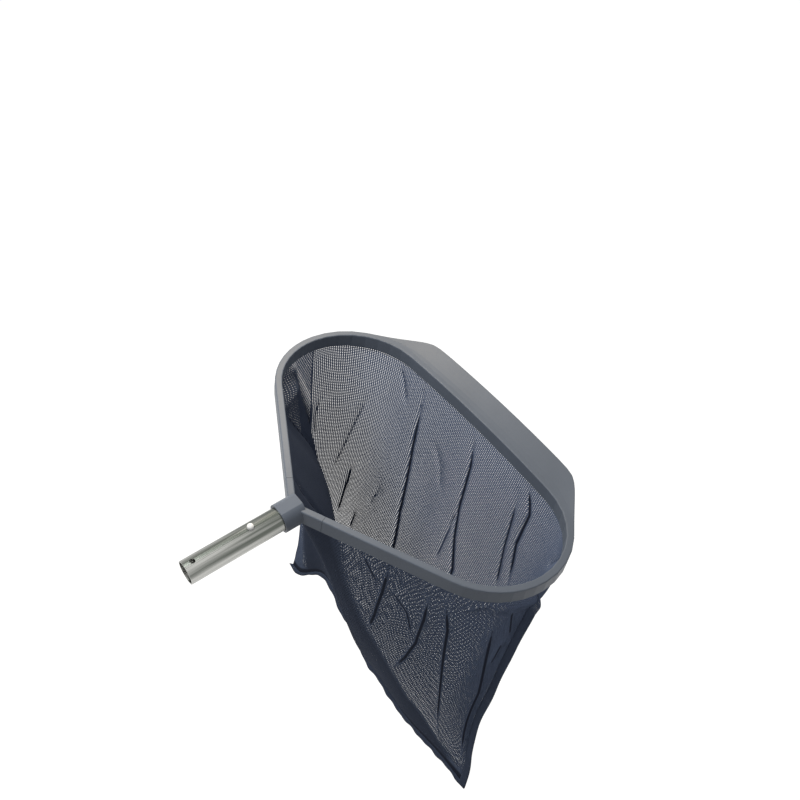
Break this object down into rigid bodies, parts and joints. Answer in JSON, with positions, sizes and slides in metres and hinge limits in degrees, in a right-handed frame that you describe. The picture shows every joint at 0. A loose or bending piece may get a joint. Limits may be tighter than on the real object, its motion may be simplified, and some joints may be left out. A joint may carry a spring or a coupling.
{
  "type": "pond skimming net",
  "caption": "Skimming net: rounded triangular moulded rim with a scoop blade, deep mesh bag, and a short handle tube whose sprung buttons lock a pole.",
  "frame": {"origin": "centre of the handle tube's free end", "axes": "+X along the front bar, +Y from the handle to the scoop blade, +Z out of the bag's mouth, square to the rim's top face; the tube leans 9 degrees down from the rim's plane"},
  "size_m": [0.46, 0.452, 0.5178],
  "materials": {
    "grey_plastic": "satin moulded grey plastic",
    "tube_metal": "drawn bright aluminium",
    "white_nylon": "smooth white nylon",
    "steel": "plain steel",
    "mesh_fabric": "dark knitted mesh",
    "cord": "dark braided cord"
  },
  "bodies": {
    "net": {"frame_hoop": "grey_plastic", "handle_yoke": "grey_plastic", "clamp_strip": "grey_plastic", "handle_tube": "tube_metal", "clip_spring": "steel", "socket_screw": "steel", "arm_screw_left": "steel", "arm_screw_right": "steel", "hem_cord": "cord", "hem_band": "mesh_fabric", "net_bag": "mesh_fabric", "bottom_seam": "mesh_fabric", "side_seam_left": "mesh_fabric", "side_seam_right": "mesh_fabric"},
    "button_top": {"clip_button_top": "white_nylon"},
    "button_bottom": {"clip_button_bottom": "white_nylon"}
  },
  "joints": [
    {"name": "button_top_press", "type": "slide", "parent": "net", "child": "button_top", "axis": [0, 0.1564, -0.9877], "range_m": [0, 0.0045], "stiffness_N_per_m": 1500, "deforming": ["clip_spring"]},
    {"name": "button_bottom_press", "type": "slide", "parent": "net", "child": "button_bottom", "axis": [0, -0.1564, 0.9877], "range_m": [0, 0.0045], "stiffness_N_per_m": 1500, "deforming": ["clip_spring"]}
  ]
}
